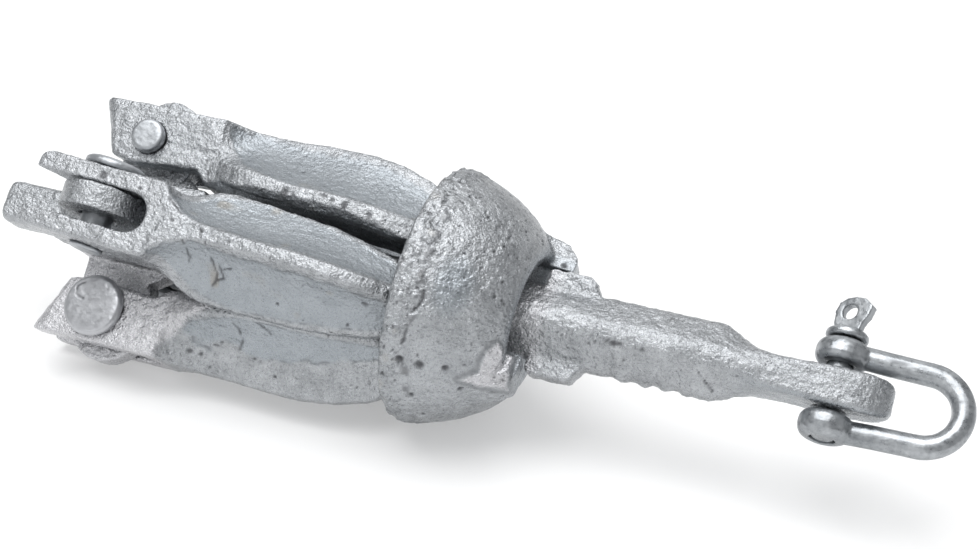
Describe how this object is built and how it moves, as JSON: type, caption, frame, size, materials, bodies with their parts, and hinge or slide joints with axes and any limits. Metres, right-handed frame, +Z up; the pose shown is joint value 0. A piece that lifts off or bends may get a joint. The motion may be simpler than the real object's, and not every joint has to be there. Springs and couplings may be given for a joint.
{
  "type": "folding grapnel anchor",
  "caption": "Folding grapnel anchor: hinged flukes riveted round a crown, a bell-shaped sliding collar that holds them closed, a tapered shank and a screw-pin D-shackle.",
  "frame": {"origin": "centre of the flat crown end face, on the shank axis", "axes": "+X along the shank from the crown to the shackle, +Z up as the folded anchor lies with two flukes above and two below"},
  "size_m": [0.35, 0.0896, 0.0896],
  "materials": {
    "casting": "hot-dip galvanised rough casting, light grey",
    "rivet": "galvanised steel, smooth",
    "shackle": "galvanised steel, smooth"
  },
  "bodies": {
    "shank": {"shank": "casting"},
    "collar": {"locking_collar": "casting"},
    "fluke_1": {"fluke_1": "casting", "rivet_1": "rivet"},
    "fluke_2": {"fluke_2": "casting", "rivet_2": "rivet"},
    "fluke_3": {"fluke_3": "casting", "rivet_3": "rivet"},
    "fluke_4": {"fluke_4": "casting", "rivet_4": "rivet"},
    "shackle_bow": {"shackle_bow": "shackle"},
    "shackle_pin": {"shackle_pin": "shackle"}
  },
  "joints": [
    {"name": "collar_slide", "type": "slide", "parent": "shank", "child": "collar", "axis": [1, 0, 0], "range_m": [0, 0.084]},
    {"name": "fluke_1_hinge", "type": "hinge", "parent": "shank", "child": "fluke_1", "pos_m": [0.052, 0.02249, 0.02249], "axis": [0, -0.7071, 0.7071], "range_deg": [0, 64]},
    {"name": "fluke_2_hinge", "type": "hinge", "parent": "shank", "child": "fluke_2", "pos_m": [0.052, -0.02355, 0.02142], "axis": [-0.0593, -0.7059, -0.7059], "range_deg": [0, 64]},
    {"name": "fluke_3_hinge", "type": "hinge", "parent": "shank", "child": "fluke_3", "pos_m": [0.052, -0.02249, -0.02249], "axis": [0, 0.7071, -0.7071], "range_deg": [0, 64]},
    {"name": "fluke_4_hinge", "type": "hinge", "parent": "shank", "child": "fluke_4", "pos_m": [0.052, 0.02249, -0.02249], "axis": [0, 0.7071, 0.7071], "range_deg": [0, 64]},
    {"name": "shackle_swing", "type": "hinge", "parent": "shank", "child": "shackle_bow", "pos_m": [0.3048, -0.00028, -0.00028], "axis": [0, 0.7986, 0.6018], "range_deg": [-90, 90]},
    {"name": "shackle_pin_out", "type": "slide", "parent": "shackle_bow", "child": "shackle_pin", "axis": [0, 0.7986, 0.6018], "range_m": [0, 0.04]}
  ],
  "couplings": [
    {"joint": "fluke_1_hinge", "follows": "collar_slide", "rad_per_m": 13.2},
    {"joint": "fluke_2_hinge", "follows": "collar_slide", "rad_per_m": 13.2},
    {"joint": "fluke_3_hinge", "follows": "collar_slide", "rad_per_m": 13.2},
    {"joint": "fluke_4_hinge", "follows": "collar_slide", "rad_per_m": 13.2}
  ]
}
